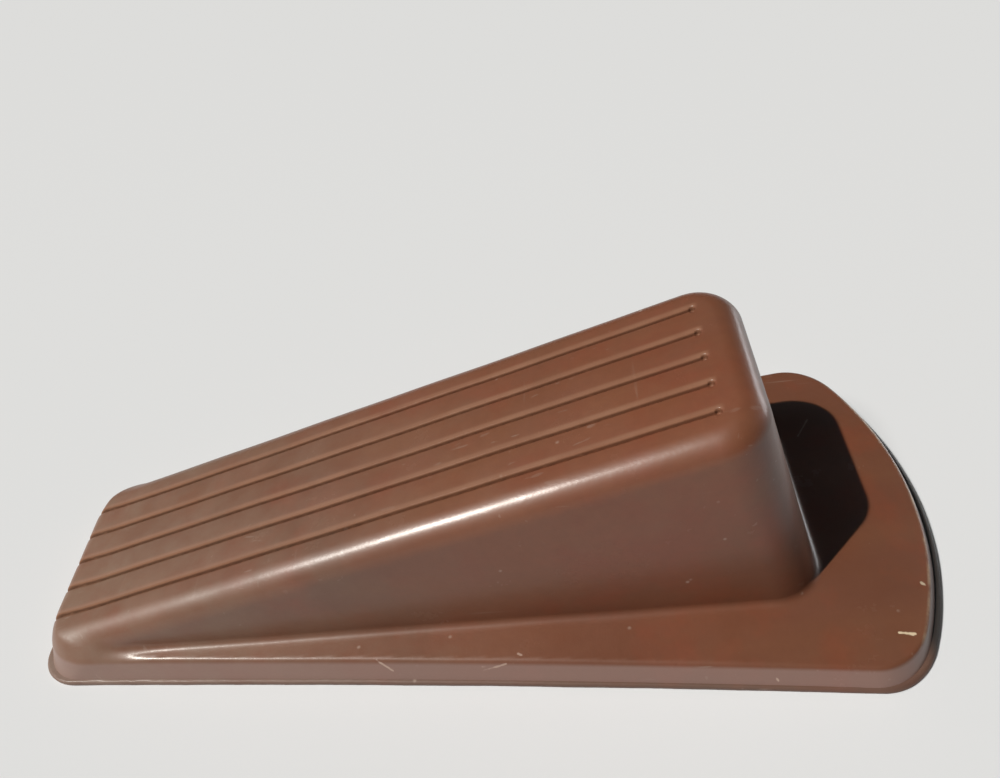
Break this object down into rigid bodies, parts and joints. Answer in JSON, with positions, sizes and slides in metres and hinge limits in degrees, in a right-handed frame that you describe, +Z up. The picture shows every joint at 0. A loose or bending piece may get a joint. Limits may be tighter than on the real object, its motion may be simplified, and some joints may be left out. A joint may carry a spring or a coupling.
{
  "type": "door wedge",
  "caption": "Rubber door wedge with a grooved ramp on a wider D-heeled foot plate, hollow underneath and closed by a thin non-slip sole.",
  "frame": {"origin": "on the floor plane, under the middle of the sole's length and width", "axes": "+X from the thin tip to the thick heel, +Z up from the floor, +Y to the left when looking from the tip to the heel"},
  "size_m": [0.1206, 0.057, 0.0321],
  "materials": {
    "body_rubber": "smooth moulded brown rubber with a soft satin sheen and light handling marks",
    "sole_rubber": "softer brown rubber, matt, slightly dusty at its lip"
  },
  "bodies": {
    "root": {"wedge_body": "body_rubber", "non_slip_sole": "sole_rubber"}
  },
  "joints": []
}
